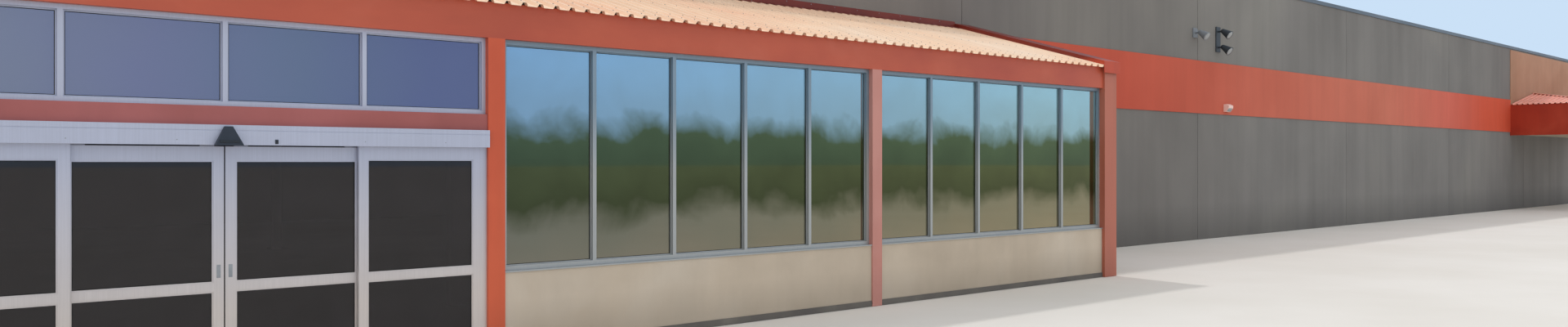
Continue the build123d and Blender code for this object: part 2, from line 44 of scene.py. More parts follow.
def addNode(tree, kind, settings={}, links={}):
    node = tree.nodes.new(kind)
    for name, value in settings.items():
        if name == "stops":  # list of (place, hex colour or grey level)
            ramp = node.color_ramp
            while len(ramp.elements) < len(value):
                ramp.elements.new(0.5)
            for element, (place, tone) in zip(ramp.elements, value):
                element.position = place
                element.color = hexToLinear(tone) if isinstance(tone, str) else (tone, tone, tone, 1)
        elif isinstance(name, int) or name in node.inputs:
            node.inputs[name].default_value = value
        else:
            setattr(node, name, value)
    for name, source in links.items():
        tree.links.new(source, node.inputs[name])
    return node


def startMaterial(name, shaderSettings):
    material = bpy.data.materials.new(name)
    material.use_nodes = True
    tree = material.node_tree
    tree.nodes.clear()
    shader = addNode(tree, "ShaderNodeBsdfPrincipled", shaderSettings)
    addNode(tree, "ShaderNodeOutputMaterial", {}, {"Surface": shader.outputs[0]})
    place = addNode(tree, "ShaderNodeTexCoord").outputs["Object"]
    return material, tree, shader, place


def startPiece():
    if bpy.context.mode != "OBJECT":
        bpy.ops.object.mode_set(mode="OBJECT")
    bpy.ops.object.select_all(action="DESELECT")


def editFaces(piece, direction):  # edit mode, with only the faces selected that look about that way
    bpy.ops.object.mode_set(mode="EDIT")
    bpy.ops.mesh.select_mode(type="FACE")
    bpy.ops.mesh.select_all(action="DESELECT")
    shape = bmesh.from_edit_mesh(piece.data)
    for face in shape.faces:
        alike = sum(a * b for a, b in zip(face.normal, direction))
        face.select_set(alike > math.cos(math.radians(60)))
    bmesh.update_edit_mesh(piece.data)


def applyModifier(piece, kind, **settings):
    bpy.context.view_layer.objects.active = piece
    modifier = piece.modifiers.new(kind.title(), kind)
    for name, value in settings.items():
        setattr(modifier, name, value)
    bpy.ops.object.modifier_apply(modifier=modifier.name)


def breakEdges(piece, width, segments=1):
    applyModifier(piece, "BEVEL", width=width, segments=segments, limit_method="ANGLE")


def repeatPiece(piece, count, step):
    applyModifier(piece, "ARRAY", count=count, use_relative_offset=False, use_constant_offset=True,
                  constant_offset_displace=step)


def copyPiece(piece, offset=(0, 0, 0)):
    copied = piece.copy()
    copied.data = piece.data.copy()
    bpy.context.collection.objects.link(copied)
    copied.location = [a + b for a, b in zip(piece.location, offset)]
    return copied


def joinPieces(pieces):
    startPiece()
    for piece in pieces:
        piece.select_set(True)
    bpy.context.view_layer.objects.active = pieces[0]
    bpy.ops.object.join()
    return pieces[0]


def settlePiece(piece):  # what was done to the object goes into its mesh
    startPiece()
    piece.select_set(True)
    bpy.context.view_layer.objects.active = piece
    bpy.ops.object.transform_apply(location=True, rotation=True, scale=True)


def placePiece(piece, place, turn=(0, 0, 0)):  # drawn round the origin, then turned and set down
    settlePiece(piece)
    piece.rotation_euler = turn
    piece.location = place
    return piece


def spreadPiece(piece, spots):  # one piece and its copies, each set down at its own place and turn
    pieces = [piece] + [copyPiece(piece) for spot in spots[1:]]
    return [placePiece(each, place, turn) for each, (place, turn) in zip(pieces, spots)]


def finishPiece(piece, name, finish, body, smooth=0):
    settlePiece(piece)
    if smooth:
        bpy.ops.object.shade_smooth_by_angle(angle=math.radians(smooth))
    piece.name = name
    piece.data.materials.clear()
    piece.data.materials.append(finishes[finish])
    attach(piece, body)


def barPiece(low, high, bevel=0):  # a bar between two corners, its edges broken as a real one's are
    startPiece()
    middle = [(a + b) / 2 for a, b in zip(low, high)]
    bpy.ops.mesh.primitive_cube_add(size=1, location=middle, scale=[b - a for a, b in zip(low, high)])
    piece = bpy.context.object
    bpy.ops.object.transform_apply(location=False, rotation=False, scale=True)
    if bevel:
        breakEdges(piece, bevel, 2)
    return piece


def platePiece(centre, size, faces, bevel):  # an upright plate: middle and size in X and Z, faces in Y
    low, high = [[middle + way * extent / 2 for middle, extent in zip(centre, size)] for way in (-1, 1)]
    return barPiece((low[0], faces[0], low[1]), (high[0], faces[1], high[1]), bevel)


# Camera, light and floor

cameraSettings = {"place": (-1.09, -5.415, 1.075), "turn": -40.0, "lens": 23.46, "sensor": 36,
                  "shiftY": -0.001, "reach": 500}
lightSettings = {"worldLevel": 1.0, "light": "#F4F6FA", "background": "#CBE1F7",
                 "sunLevel": 0.8, "sunSoftness": 2.5, "sunFrom": (0.05, 0.42, 0.9), "sunHeight": 12}
floorSettings = {"size": 500, "place": (12, 7, -2 * mm), "roughness": 0.85,
                 "cloudSize": 2857 * mm, "tones": [(0.3, "#DFD9CF"), (0.7, "#E9E4DC")]}


def makeCamera():
    turn = math.radians(cameraSettings["turn"])
    bpy.ops.object.camera_add(location=cameraSettings["place"], rotation=(quarterTurn, 0, turn))
    camera = bpy.context.object
    camera.data.sensor_width = cameraSettings["sensor"]
    camera.data.sensor_fit = "HORIZONTAL"
    camera.data.lens = cameraSettings["lens"]
    camera.data.shift_y = cameraSettings["shiftY"]
    camera.data.clip_end = cameraSettings["reach"]
    bpy.context.scene.camera = camera


def makeLight():  # an even pale sky and a soft sun
    world = bpy.data.worlds.new("paleSky")
    bpy.context.scene.world = world
    world.use_nodes = True
    tree = world.node_tree
    tree.nodes.clear()
    rays = addNode(tree, "ShaderNodeLightPath").outputs
    seen = rays["Is Camera Ray"]  # what is seen, also in metal and glass, has the background's colour
    for ray in ("Is Glossy Ray", "Is Transmission Ray"):
        seen = addNode(tree, "ShaderNodeMath", {"operation": "MAXIMUM"},
                       {0: seen, 1: rays[ray]}).outputs[0]
    light = addNode(tree, "ShaderNodeBackground", {"Color": hexToLinear(lightSettings["light"]),
                                                   "Strength": lightSettings["worldLevel"]})
    shown = addNode(tree, "ShaderNodeBackground",
                    {"Color": hexToLinear(lightSettings["background"]), "Strength": 1.0})
    mixed = addNode(tree, "ShaderNodeMixShader", {},
                    {0: seen, 1: light.outputs[0], 2: shown.outputs[0]})
    addNode(tree, "ShaderNodeOutputWorld", {}, {"Surface": mixed.outputs[0]})
    bpy.ops.object.light_add(type="SUN", location=(0, 0, lightSettings["sunHeight"]))
    sun = bpy.context.object
    sun.data.energy = lightSettings["sunLevel"]
    sun.data.angle = math.radians(lightSettings["sunSoftness"])
    x, y, z = lightSettings["sunFrom"]
    sun.rotation_euler = (math.acos(z / math.hypot(x, y, z)), 0, math.atan2(x, -y))


def makeFloor():  # brushed pale concrete: a soft, nearly even ground with faint clouds in it
    material, tree, shader, place = startMaterial("brushedPaleConcrete",
                                                  {"Roughness": floorSettings["roughness"]})
    clouds = addNode(tree, "ShaderNodeTexNoise",
                     {"Scale": 1 / floorSettings["cloudSize"], "Detail": 4, "Roughness": 0.6},
                     {"Vector": place})
    tone = addNode(tree, "ShaderNodeValToRGB", {"stops": floorSettings["tones"]},
                   {"Fac": clouds.outputs["Fac"]})
    tree.links.new(tone.outputs[0], shader.inputs["Base Color"])
    startPiece()
    bpy.ops.mesh.primitive_plane_add(size=floorSettings["size"], location=floorSettings["place"])
    floor = bpy.context.object
    floor.name = "floor"
    floor.data.materials.append(material)


startPiece()
makeCamera()
makeLight()
makeFloor()
bpy.context.scene.view_settings.view_transform = "Standard"
print("camera, light and floor are in place")


# Finishes, named for what they are, with the frame's own pieces that wear them
# Their sizes and places are in mm: patches (size, stops), ramps (axis, low, high, wobble, stops),
# streaks (size, stops), panels (first, pitch, least tone), joints (pitch, width, tone),
# grain (size, strength, depth). Real grain and die lines are mostly finer than 1 mm, too fine to show,
# so they are drawn as coarse as they need to be seen

noiseSettings = {"patches": {"Detail": 5, "Roughness": 0.55, "Distortion": 0.3},
                 "streaks": {"Detail": 4, "Roughness": 0.6}, "grain": {"Detail": 3}}
finishSettings = {
    "postPowderCoat": {  # baked orange coat with an orange-peel sheen, gone chalky in full sun
        "nodes": ("lobby_posts",), "shader": {"Specular IOR Level": 0.45},
        "patches": (900, [(0.3, "#F2E4E0"), (0.6, 1.0)]),
        "ramps": [("X", 1350, 7450, 0,
                   [(0.1, "#D7603C"), (0.4, "#CA8D82"), (0.6, "#CA8D82"), (0.9, "#B86953")]),
                  ("Z", 0, 250, -120, [(0, 0.86), (1, 1.0)])],
        "streaks": ((143, 143, 1667), [(0.35, 0.93), (0.6, 1.0)]),
        "roughness": (0.38, 0.52), "grain": (6, 0.15, 0.5)},
    "beamPowderCoat": {  # the same coat with painted shade from the eaves: deeper, with long dust marks
        "nodes": ("lobby_beams", "gable_panels"), "shader": {"Specular IOR Level": 0.45},
        "patches": (900, [(0.3, "#B34C37"), (0.55, "#BE583E"), (0.75, "#C6654D")]),
        "streaks": ((833, 143, 200), [(0.35, 0.92), (0.6, 1.0)]),
        "roughness": (0.4, 0.55), "grain": (6, 0.15, 0.5)},
    "rakeTrimCoat": {  # folded edge trim: orange at the eave, painted shade turns it dark red up the wall
        "nodes": ("lobby_rake_trims",), "shader": {"Specular IOR Level": 0.35},
        "patches": (600, [(0.3, "#F0E4E0"), (0.6, 1.0)]),
        "ramps": [("Z", 2010, 2070, 0, [(0, "#C44F34"), (1, "#873429")])],
        "streaks": ((143, 667, 500), [(0.35, 0.9), (0.6, 1.0)]),
        "roughness": (0.4, 0.55), "grain": (6, 0.15, 0.5)},
    "porchPowderCoat": {  # the porch's fascia and posts: the same coat with painted shade, deeper than the lobby's
        "nodes": ("porch_fascia", "porch_posts"), "shader": {"Specular IOR Level": 0.4},
        "patches": (800, [(0.3, "#A72F16"), (0.55, "#B3391F"), (0.75, "#BD482D")]),
        "streaks": ((200, 200, 1250), [(0.35, 0.9), (0.6, 1.0)]),
        "roughness": (0.38, 0.52), "grain": (6, 0.15, 0.5)},
    "fadedPowderCoat": {  # the same coat where the sun has dulled it, on the beam over the doors
        "nodes": ("door_bay_beam",), "shader": {"Specular IOR Level": 0.4},
        "patches": (700, [(0.3, "#9F5652"), (0.7, "#B06766")]),
        "streaks": ((200, 200, 500), [(0.35, 0.92), (0.6, 1.0)]),
        "roughness": (0.45, 0.6), "grain": (6, 0.15, 0.5)},
    "masonryBandPaint": {  # flat masonry paint rolled over cast panels: chalky, unevenly faded
        "nodes": ("front_band",), "shader": {"Specular IOR Level": 0.25},
        "patches": (2200, [(0.3, "#F3EAE4"), (0.6, 1.0)]),
        "ramps": [("X", 7400, 26400, 1200, [(0.2, "#C95A45"), (0.4, "#CB6B56"), (0.65, "#CE7660"),
                                            (0.82, "#D96D5B"), (0.93, "#D6573A")])],
        "streaks": ((286, 286, 2857), [(0.3, 0.92), (0.6, 1.0)]),
        "roughness": (0.7, 0.85), "grain": (14, 0.3, 1.2)},
    "paintedCastPanel": {  # grey paint on tilt-up concrete: cloudy, with pores and long faint streaks
        "nodes": ("hall_front_wall_left", "hall_front_wall_right", "hall_front_wall_over_portal",
                  "hall_back_wall", "hall_left_wall", "hall_right_wall"),
        "shader": {"Specular IOR Level": 0.2},
        "patches": (2800, [(0.28, "#797774"), (0.5, "#83817E"), (0.72, "#8C8A85")]),
        "ramps": [("X", 4000, 14400, 0, [(0, "#EFE9EA"), (0.7, "#FAF8F6"), (1, 1.0)]),
                  ("Z", 0, 450, -120, [(0, 0.72), (1, 1.0)])],
        "streaks": ((385, 385, 4545), [(0.3, 0.88), (0.6, 1.0)]), "panels": (2410, 5000, 0.93),
        "roughness": (0.78, 0.92), "grain": (16, 0.35, 1.5)},
    "floatedRender": {  # taupe render floated by hand: sandy, a little uneven, dirty at its foot
        "nodes": ("bulkheads", "porch_soffit"), "shader": {"Specular IOR Level": 0.2},
        "patches": (800, [(0.28, "#BEB09D"), (0.5, "#C9BBA8"), (0.72, "#D1C5B4")]),
        "ramps": [("Z", 20, 220, -120, [(0, 0.8), (1, 1.0)])],
        "streaks": ((250, 250, 1250), [(0.3, 0.93), (0.6, 1.0)]),
        "roughness": (0.8, 0.95), "grain": (8, 0.5, 1.0)},
    "tanRender": {  # sprayed tan render over the porch: coarse and matt
        "nodes": ("porch_wall_panel",), "shader": {"Specular IOR Level": 0.2},
        "patches": (1400, [(0.28, "#A88168"), (0.5, "#B28C74"), (0.72, "#BC9880")]),
        "streaks": ((250, 250, 2000), [(0.3, 0.92), (0.6, 1.0)]),
        "roughness": (0.8, 0.95), "grain": (10, 0.6, 1.5)},
    "darkCurbConcrete": {  # sealed dark curb: scuffed, with paler knocks
        "nodes": ("lobby_curbs",), "shader": {"Specular IOR Level": 0.3},
        "patches": (350, [(0.3, "#5C5855"), (0.6, "#6B6761"), (0.8, "#8B857D")]),
        "roughness": (0.6, 0.85), "grain": (7, 0.5, 1.0)},
    "trowelledConcrete": {  # steel-trowelled floor slab: hard, cloudy, with a low polish
        "nodes": ("lobby_floor", "hall_floor"), "shader": {"Specular IOR Level": 0.4},
        "patches": (1100, [(0.3, "#8F8C85"), (0.5, "#9B9891"), (0.72, "#A7A49C")]),
        "roughness": (0.45, 0.65), "grain": (12, 0.2, 0.6)},
    "coilCoatedSheet": {  # coil-coated roofing: pale salmon, partly a sun-bleached coat and partly painted sunlight, dust lying along the ribs
        "nodes": ("lobby_roof",), "shader": {"Specular IOR Level": 0.4},
        "patches": (1300, [(0.3, "#FFD6B7"), (0.5, "#FFE0C2"), (0.72, "#FFEAD3")]),
        "streaks": ((111, 1111, 1111), [(0.3, 0.93), (0.6, 1.0)]),
        "roughness": (0.4, 0.55), "grain": (20, 0.1, 0.5)},
    "porchCoilCoat": {  # the porch's own sheets: the same roofing with less painted sunlight, and so redder
        "nodes": ("porch_roof",), "shader": {"Specular IOR Level": 0.4},
        "patches": (1000, [(0.3, "#E7957D"), (0.5, "#F3A28A"), (0.72, "#FAB099")]),
        "streaks": ((166.7, 500, 1111), [(0.3, 0.88), (0.6, 1.0)]),
        "roughness": (0.4, 0.55), "grain": (20, 0.1, 0.5)},
    "darkRedTrimCoat": {  # folded trim in a deep red coat: smooth, with a satin shine
        "nodes": ("lobby_roof_flashing",), "shader": {"Specular IOR Level": 0.3},
        "patches": (800, [(0.3, "#6A261C"), (0.5, "#762C21"), (0.72, "#81372B")]),
        "roughness": (0.38, 0.5), "grain": (15, 0.1, 0.4)},
    "copingCoat": {  # blue-grey coated coping: smooth, dusty on top, each length lapping the next
        "nodes": ("parapet_coping",), "shader": {"Specular IOR Level": 0.5},
        "patches": (1200, [(0.3, "#4B5661"), (0.5, "#58636E"), (0.75, "#68717C")]),
        "joints": (1500, 5, 0.5), "roughness": (0.35, 0.5), "grain": (18, 0.1, 0.4)},
    "roofMembrane": {  # welded pale membrane: matt, soft, with ponding stains
        "nodes": ("hall_roof_deck",), "shader": {"Specular IOR Level": 0.3},
        "patches": (3000, [(0.28, "#A9A69E"), (0.42, "#BDBBB4"), (0.6, "#C8C6C0"), (0.75, "#CFCDC8")]),
        "roughness": (0.6, 0.8), "grain": (25, 0.2, 0.8)},
    "primedSteel": {  # shop primer on rolled steel: flat grey, a little patchy from the spray
        "nodes": ("lobby_rafters", "lobby_purlins", "hall_roof_girders", "hall_columns"),
        "shader": {"Specular IOR Level": 0.35},
        "patches": (500, [(0.3, "#83827D"), (0.6, "#918F89"), (0.8, "#9B9892")]),
        "roughness": (0.55, 0.7), "grain": (9, 0.2, 0.4)},
    "mouldedBlackAbs": {  # moulded ABS of the sensor: near black, fine spark-eroded grain
        "nodes": ("door_sensor",), "shader": {"Specular IOR Level": 0.5},
        "patches": (80, [(0.3, "#1F242F"), (0.7, "#282F3B")]),
        "roughness": (0.42, 0.55), "grain": (2, 0.4, 0.3)},
    "epdmRubber": {  # extruded EPDM seals and closures: black with a grey bloom
        "shader": {"Specular IOR Level": 0.3},
        "patches": (150, [(0.3, "#1B1A1A"), (0.7, "#2A2827")]),
        "roughness": (0.65, 0.8), "grain": (3, 0.2, 0.2)},
    "jointSealant": {  # gun-applied polyurethane in the panel joints: grey and rubbery
        "shader": {"Specular IOR Level": 0.35},
        "patches": (400, [(0.3, "#5B5A58"), (0.7, "#686764")]),
        "roughness": (0.55, 0.7), "grain": (10, 0.3, 0.5)},
    "castLampMetal": {  # die-cast lamp housings: the single one in a worn grey, the pair in near black
        "nodes": ("wall_lamps",), "shader": {"Specular IOR Level": 0.5},
        "patches": (120, [(0.3, 0.88), (0.7, 1.0)]),
        "ramps": [("X", 12500, 12700, 0, [(0.4, "#82878C"), (0.6, "#353B41")])],
        "roughness": (0.4, 0.55), "grain": (3, 0.25, 0.3)},
    "paleLampMetal": {  # the small band lamp's pale coat: smooth, a little pink from a painted reflection of the band round it
        "nodes": ("band_lamp",), "shader": {"Specular IOR Level": 0.5},
        "patches": (120, [(0.3, "#EFCABC"), (0.7, "#F9D6CA")]),
        "roughness": (0.35, 0.5), "grain": (3, 0.2, 0.3)},
    "platedSteel": {  # zinc-plated screws and plates: bright grey, dulled by weather
        "shader": {"Metallic": 0.85},
        "patches": (50, [(0.3, "#8E9093"), (0.7, "#A9ABAD")]),
        "roughness": (0.32, 0.5), "grain": (2, 0.2, 0.1)},
    "smokedAcrylic": {  # the sensor's smoked window: near black and glossy
        "shader": {"Specular IOR Level": 0.6},
        "patches": (50, [(0.3, "#0D0E12"), (0.7, "#15161B")]), "roughness": (0.05, 0.12)},
    "prismaticLampGlass": {  # pressed glass of the lamps: pale, with fine ribs that scatter the light
        "shader": {"Specular IOR Level": 0.6, "Transmission Weight": 0.25},
        "patches": (40, [(0.3, "#A7ADB0"), (0.7, "#BCC2C4")]),
        "roughness": (0.12, 0.25), "grain": (3, 0.6, 0.6)},
    "clearAnodisedAluminium": {  # the doors' extrusions: fine die lines, a painted reflection cool above and warm below
        "nodes": ("door_jambs", "door_header", "sidelite_frames", "right_leaf_frame", "left_leaf_frame",
                  "door_threshold", "transom_frame"),
        "shader": {"Metallic": 0.35},
        "patches": ((4.545, 4.545, 500), [(0.35, 0.93), (0.65, 1.0)]),
        "ramps": [("Z", 350, 1100, 0, [(0, "#DCD2CB"), (1, "#BFC3D5")])],
        "streaks": (625, [(0.35, 0.94), (0.65, 1.0)]),
        "roughness": (0.34, 0.5), "grain": ((4.545, 4.545, 500), 0.12, 0.2)},
    "greyAnodisedAluminium": {  # the windows' greyer extrusions: the same lines, painted shade and sky reflection darkening them above
        "nodes": ("window_frames", "window_sills"), "shader": {"Metallic": 0.45},
        "patches": ((4.545, 4.545, 500), [(0.35, 0.93), (0.65, 1.0)]),
        "ramps": [("Z", 1000, 1450, 0, [(0, "#B3B5B4"), (1, "#8B9DAA")])],
        "streaks": (625, [(0.35, 0.94), (0.65, 1.0)]),
        "roughness": (0.34, 0.5), "grain": ((4.545, 4.545, 500), 0.12, 0.2)},
    "mirrorCoatedGlass": {  # mirror-coated float glass with a painted reflection: bluish above, deep green-grey below
        "nodes": ("window_glass",),
        "shader": {"Metallic": 0.75, "Roughness": 0.03, "IOR": 1.52, "Transmission Weight": 0.4},
        "patches": (450, [(0.3, 0.97), (0.7, 1.0)]),
        "ramps": [("Z", 620, 1970, 450, [(0, "#9E9375"), (0.22, "#8D896E"), (0.34, "#4B5331"),
                                         (0.62, "#626D43"), (0.74, "#B2CBC6"), (1, "#B9DADC")]),
                  ("X", 1400, 6500, 0, [(0, "#D5E0FF"), (1, "#FFFFFF")])],  # the painted reflection is paler down the row
        "grain": (770, 0.08, 2)},
    "violetReflectionGlass": {  # glass over the doors with a violet-blue painted reflection, deeper towards the right
        "nodes": ("transom_glass",),
        "shader": {"Metallic": 0.7, "Roughness": 0.03, "IOR": 1.52, "Transmission Weight": 0.4},
        "patches": (450, [(0.3, 0.97), (0.7, 1.0)]),
        "ramps": [("X", -900, 1500, 400, [(0.05, "#9696A4"), (0.32, "#8B8AA4"), (0.59, "#7D859C"),
                                          (0.86, "#73789A")])],
        "grain": (770, 0.08, 2)},
    "tintedDoorGlass": {  # tinted safety glass that shows the dim lobby behind it
        "nodes": ("sidelite_glass", "right_leaf_glass", "left_leaf_glass"),
        "shader": {"Roughness": 0.02, "IOR": 1.45, "Transmission Weight": 1.0},
        "patches": (330, [(0.35, "#9C8F9E"), (0.7, "#A89BAA")])}}


def makeFinish(name, settings):  # its shades are multiplied together
    material, tree, shader, place = startMaterial(name, settings["shader"])
    axes = addNode(tree, "ShaderNodeSeparateXYZ", {}, {0: place}).outputs
    noises = {}
    for kind, noise in noiseSettings.items():
        if kind in settings:
            size = settings[kind][0]
            sizes = size if isinstance(size, tuple) else (size, size, size)
            fitted = addNode(tree, "ShaderNodeMapping", {"Scale": [1 / (each * mm) for each in sizes]},
                             {"Vector": place})
            noises[kind] = addNode(tree, "ShaderNodeTexNoise", {"Scale": 1.0, **noise},
                                   {"Vector": fitted.outputs[0]}).outputs["Fac"]
    patches = noises["patches"]
    shades = [addNode(tree, "ShaderNodeValToRGB", {"stops": settings["patches"][1]}, {"Fac": patches})]
    for axis, low, high, wobble, stops in settings.get("ramps", ()):  # tones that follow the place
        uneven = addNode(tree, "ShaderNodeMath", {"operation": "MULTIPLY_ADD", 1: wobble * mm},
                         {0: patches, 2: axes[axis]})
        part = addNode(tree, "ShaderNodeMapRange", {"From Min": low * mm, "From Max": high * mm},
                       {"Value": uneven.outputs[0]})
        shades.append(addNode(tree, "ShaderNodeValToRGB", {"stops": stops}, {"Fac": part.outputs[0]}))
    if "streaks" in settings:  # rain and dust marks, long in the direction that water runs
        shades.append(addNode(tree, "ShaderNodeValToRGB", {"stops": settings["streaks"][1]},
                              {"Fac": noises["streaks"]}))
    if "panels" in settings:  # each cast panel took the paint a little differently
        first, pitch, least = settings["panels"]
        count = addNode(tree, "ShaderNodeMath", {"operation": "MULTIPLY_ADD", 1: 1 / (pitch * mm),
                                                 2: -first / pitch}, {0: axes["X"]})
        whole = addNode(tree, "ShaderNodeMath", {"operation": "FLOOR"}, {0: count.outputs[0]})
        draw = addNode(tree, "ShaderNodeTexWhiteNoise", {"noise_dimensions": "1D"},
                       {"W": whole.outputs[0]})
        shades.append(addNode(tree, "ShaderNodeMapRange", {"To Min": least},
                              {"Value": draw.outputs["Value"]}))
    if "joints" in settings:  # dark lines where one folded length laps the next
        pitch, width, tone = settings["joints"]
        for axis in ("X", "Y"):
            count = addNode(tree, "ShaderNodeMath", {"operation": "MULTIPLY", 1: 1 / (pitch * mm)},
                            {0: axes[axis]})
            part = addNode(tree, "ShaderNodeMath", {"operation": "FRACT"}, {0: count.outputs[0]})
            line = addNode(tree, "ShaderNodeMath", {"operation": "LESS_THAN", 1: width / pitch},
                           {0: part.outputs[0]})
            shades.append(addNode(tree, "ShaderNodeMapRange", {"To Min": 1.0, "To Max": tone},
                                  {"Value": line.outputs[0]}))
    colour = shades[0].outputs[0]
    for shade in shades[1:]:
        colour = addNode(tree, "ShaderNodeMix", {"data_type": "RGBA", "blend_type": "MULTIPLY", 0: 1.0},
                         {6: colour, 7: shade.outputs[0]}).outputs[2]
    tree.links.new(colour, shader.inputs["Base Color"])
    if "roughness" in settings:
        low, high = settings["roughness"]
        rough = addNode(tree, "ShaderNodeMapRange", {"To Min": low, "To Max": high}, {"Value": patches})
        tree.links.new(rough.outputs[0], shader.inputs["Roughness"])
    if "grain" in settings:  # the fine relief
        strength, depth = settings["grain"][1:]
        bump = addNode(tree, "ShaderNodeBump", {"Strength": strength, "Distance": depth * mm},
                       {"Height": noises["grain"]})
        tree.links.new(bump.outputs[0], shader.inputs["Normal"])
    return material


finishes = {}
for name, settings in finishSettings.items():
    finishes[name] = makeFinish(name, settings)
    for node in settings.get("nodes", ()):
        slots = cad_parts[node].data.materials
        slots.clear()
        slots.append(finishes[name])
print("finishes are on the frame")


# Roofing screws, drawn on a level sheet that is then tilted to its slope

screwSettings = {"washer": (4.6 * mm, 1.1 * mm), "head": (2.9 * mm, 2.4 * mm),  # radius and height
                 "edge": 0.4 * mm}


def makeScrew():  # a hex head on its sealing washer, standing on the origin
    pieces = []
    foot = 0
    for sides, (radius, height) in ((12, screwSettings["washer"]), (6, screwSettings["head"])):
        startPiece()
        bpy.ops.mesh.primitive_cylinder_add(vertices=sides, radius=radius, depth=height,
                                            location=(0, 0, foot + height / 2))
        pieces.append(bpy.context.object)
        foot += height
    breakEdges(pieces[1], screwSettings["edge"])
    return placePiece(joinPieces(pieces), (0, 0, 0))


def makeScrewRow(first, step, count):
    row = makeScrew()
    repeatPiece(row, count, step)
    row.location = first
    return row


lobbyRoof = {"eave": (0, -46 * mm, 1955 * mm), "slope": math.atan2(520, 1762), "edge": 7550 * mm,
             "ribs": 151, "ribPitch": 100 * mm, "stack": 23 * mm}
lobbyScrewSettings = {
    "rows": (53 * mm, 194 * mm, 731 * mm, 1268 * mm), "ribsCovered": 3,
    "apron": {"along": 1820 * mm, "rise": 26.8 * mm, "everyRib": 3},
    "rake": {"insets": (30 * mm, 225 * mm), "rise": 59.4 * mm, "first": 60 * mm, "pitch": 280 * mm,
             "count": 7}}


def makeLobbyRoofScrews():
    pitch = lobbyRoof["ribPitch"]
    shown = lobbyRoof["ribs"] - 2 * lobbyScrewSettings["ribsCovered"]
    left = -(shown - 1) / 2 * pitch
    spots = [((left, along, lobbyRoof["stack"]), (0, 0, 0)) for along in lobbyScrewSettings["rows"]]
    rows = spreadPiece(makeScrewRow((0, 0, 0), (pitch, 0, 0), shown), spots)
    apron = lobbyScrewSettings["apron"]
    rows.append(makeScrewRow((left, apron["along"], apron["rise"]), (apron["everyRib"] * pitch, 0, 0),
                             (shown - 1) // apron["everyRib"] + 1))
    rake = lobbyScrewSettings["rake"]
    spots = [((side * (lobbyRoof["edge"] - inset), rake["first"], rake["rise"]), (0, 0, 0))
             for side in (-1, 1) for inset in rake["insets"]]
    rows += spreadPiece(makeScrewRow((0, 0, 0), (0, rake["pitch"], 0), rake["count"]), spots)
    piece = placePiece(joinPieces(rows), lobbyRoof["eave"], (lobbyRoof["slope"], 0, 0))
    finishPiece(piece, "lobbyRoofScrews", "platedSteel", "building")


flashingSettings = {"row": (1746 * mm, 2548 * mm), "pitch": 300 * mm, "rakeCover": 257 * mm}


def makeFlashingScrews():  # one row along the flashing's upright leg
    y, z = flashingSettings["row"]
    pitch = flashingSettings["pitch"]
    count = int(2 * (lobbyRoof["edge"] - flashingSettings["rakeCover"]) / pitch)
    row = makeScrewRow((0, 0, 0), (pitch, 0, 0), count)
    placePiece(row, (-(count - 1) / 2 * pitch, y, z), (quarterTurn, 0, 0))
    finishPiece(row, "flashingScrews", "platedSteel", "building")


porchRoof = {"eave": (28900 * mm, -24 * mm, 2360.5 * mm), "slope": math.atan2(330, 1762),
             "halfWidth": 2524 * mm, "ribPitch": 100 * mm, "hipMargin": 60 * mm,
             "rows": (60 * mm, 560 * mm, 1060 * mm, 1500 * mm)}


def makePorchRoofScrews():  # each row is shorter than the one below it, because of the hips
    pitch, slope = porchRoof["ribPitch"], porchRoof["slope"]
    rows = []
    for along in porchRoof["rows"]:
        half = porchRoof["halfWidth"] - along * math.cos(slope) - porchRoof["hipMargin"]
        count = 2 * int(half / pitch) + 1
        left = -(count - 1) / 2 * pitch
        rows.append(makeScrewRow((left, along, lobbyRoof["stack"]), (pitch, 0, 0), count))
    piece = placePiece(joinPieces(rows), porchRoof["eave"], (slope, 0, 0))
    finishPiece(piece, "porchRoofScrews", "platedSteel", "building")


closureSettings = {"foot": 20.4 * mm, "head": 10.5 * mm, "height": 19.5 * mm,
                   "along": (40 * mm, 60 * mm), "edge": 1 * mm}


def makeRibClosures():  # rubber blocks that close each rib's hollow over the eave beam
    foot, head = closureSettings["foot"], closureSettings["head"]
    front, back = closureSettings["along"]
    piece = barPiece((-foot, front, 0), (foot, back, closureSettings["height"]))
    editFaces(piece, (0, 0, 1))
    bpy.ops.transform.resize(value=(head / foot, 1, 1), center_override=(0, 0, 0))
    bpy.ops.object.mode_set(mode="OBJECT")
    breakEdges(piece, closureSettings["edge"])
    repeatPiece(piece, lobbyRoof["ribs"], (lobbyRoof["ribPitch"], 0, 0))
    piece.location.x = -(lobbyRoof["ribs"] - 1) / 2 * lobbyRoof["ribPitch"]
    placePiece(piece, lobbyRoof["eave"], (lobbyRoof["slope"], 0, 0))
    finishPiece(piece, "ribClosures", "epdmRubber", "building")


makeLobbyRoofScrews()
makeFlashingScrews()
makePorchRoofScrews()
makeRibClosures()
print("roofing screws and rib closures are on")


# Glazing gaskets, drawn facing the front and turned for the lobby's ends

gasketSettings = {"sight": 6 * mm, "width": 3 * mm, "thickness": 2 * mm, "edge": 0.6 * mm}


def makeGasketRing(width, height, faces):  # rubber rings on both faces of one pane, round the origin
    rings = []
    for y, way in zip(faces, (-1, 1)):
        startPiece()
        bpy.ops.mesh.primitive_plane_add(size=1, rotation=(quarterTurn, 0, 0))
        ring = bpy.context.object
        ring.scale = (width, height, 1)
        bpy.ops.object.transform_apply(location=False, rotation=True, scale=True)
        bpy.ops.object.mode_set(mode="EDIT")
        bpy.ops.mesh.select_all(action="SELECT")
        bpy.ops.mesh.inset(thickness=gasketSettings["width"])
        bpy.ops.mesh.delete(type="FACE")
        bpy.ops.object.mode_set(mode="OBJECT")
        applyModifier(ring, "SOLIDIFY", thickness=gasketSettings["thickness"], offset=0)
        breakEdges(ring, gasketSettings["edge"])
        ring.location = (0, y + way * gasketSettings["thickness"] / 2, 0)
        rings.append(ring)
    return placePiece(joinPieces(rings), (0, 0, 0))


